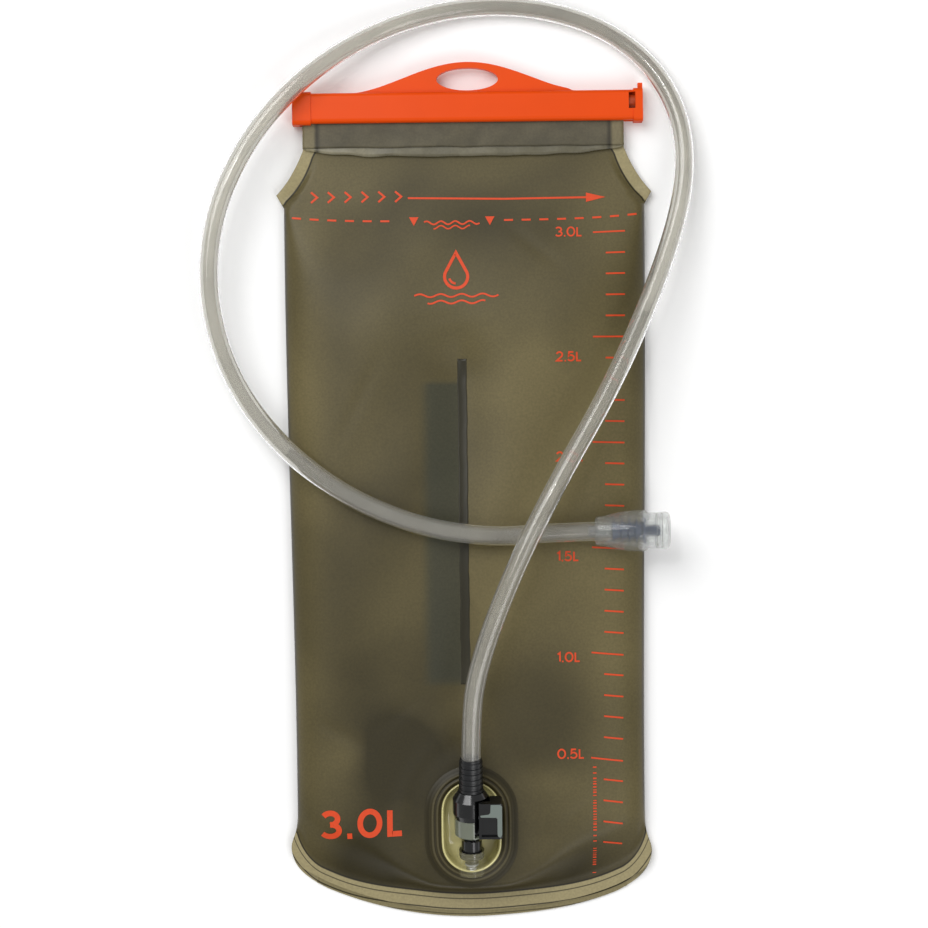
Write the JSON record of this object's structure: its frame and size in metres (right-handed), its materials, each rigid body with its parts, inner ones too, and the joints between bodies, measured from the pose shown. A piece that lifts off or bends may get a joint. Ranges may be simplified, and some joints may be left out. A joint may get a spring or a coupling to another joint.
{
  "type": "hydration bladder",
  "caption": "Soft water reservoir lying flat, with a slide-seal bar and hanger, a front port with a plug-in drink hose, and a bite valve.",
  "frame": {"origin": "On the surface that the bag lies on, under the middle of the bag and its slide bar, leaving the free hose out.", "axes": "X across the bag, Y from the bottom hem up to the slide bar and hanger, Z out of the front face"},
  "size_m": [0.2406, 0.4493, 0.05],
  "materials": {
    "film": "smoke-olive TPU film, satin",
    "closure_film": "frosted TPU film",
    "baffle": "TPU film",
    "orange_plastic": "moulded polypropylene, satin",
    "clear_plastic": "clear moulded TPU",
    "black_plastic": "moulded acetal, satin",
    "smoke_plastic": "smoke-tinted polycarbonate",
    "poppet_plastic": "natural acetal",
    "black_rubber": "moulded EPDM",
    "spring_steel": "stainless spring wire",
    "rail_plastic": "natural polypropylene",
    "hose_plastic": "clear TPU hose",
    "silicone": "clear silicone",
    "insert_plastic": "blue-grey polypropylene"
  },
  "bodies": {
    "reservoir": {"rear_panel": "film", "front_panel": "film", "bottom_gusset": "film", "baffle_web": "baffle", "neck_fold": "closure_film", "fold_rail": "rail_plastic", "port_tub": "clear_plastic", "port_socket": "clear_plastic", "poppet_spring": "spring_steel"},
    "slide_bar": {"slider_bar": "orange_plastic", "slider_end_cap": "orange_plastic"},
    "hose_plug": {"plug_body": "black_plastic", "plug_o_ring": "black_rubber", "plug_shroud": "smoke_plastic", "plug_collar": "black_plastic", "strain_relief": "black_rubber", "button_spring": "spring_steel", "drink_hose": "hose_plastic", "bite_insert": "insert_plastic", "bite_valve": "silicone"},
    "button": {"release_button": "black_plastic"},
    "shutoff_valve": {"shutoff_poppet": "poppet_plastic", "poppet_seal": "black_rubber"}
  },
  "joints": [
    {"name": "bar_slide", "type": "slide", "parent": "reservoir", "child": "slide_bar", "axis": [1, 0, 0], "range_m": [-0.168, 0]},
    {"name": "plug_pull", "type": "slide", "parent": "reservoir", "child": "hose_plug", "axis": [0, 0.9537, 0.3007], "range_m": [0, 0.018]},
    {"name": "button_press", "type": "slide", "parent": "hose_plug", "child": "button", "axis": [-1, 0, 0], "range_m": [0, 0.0018], "stiffness_N_per_m": 1500, "springref_m": -0.001, "deforming": ["button_spring"]},
    {"name": "poppet_travel", "type": "slide", "parent": "reservoir", "child": "shutoff_valve", "axis": [0, 0.9537, 0.3007], "range_m": [0, 0.0015], "deforming": ["poppet_spring"]}
  ],
  "couplings": [
    {"joint": "poppet_travel", "follows": "plug_pull", "ratio": 0.083333}
  ]
}
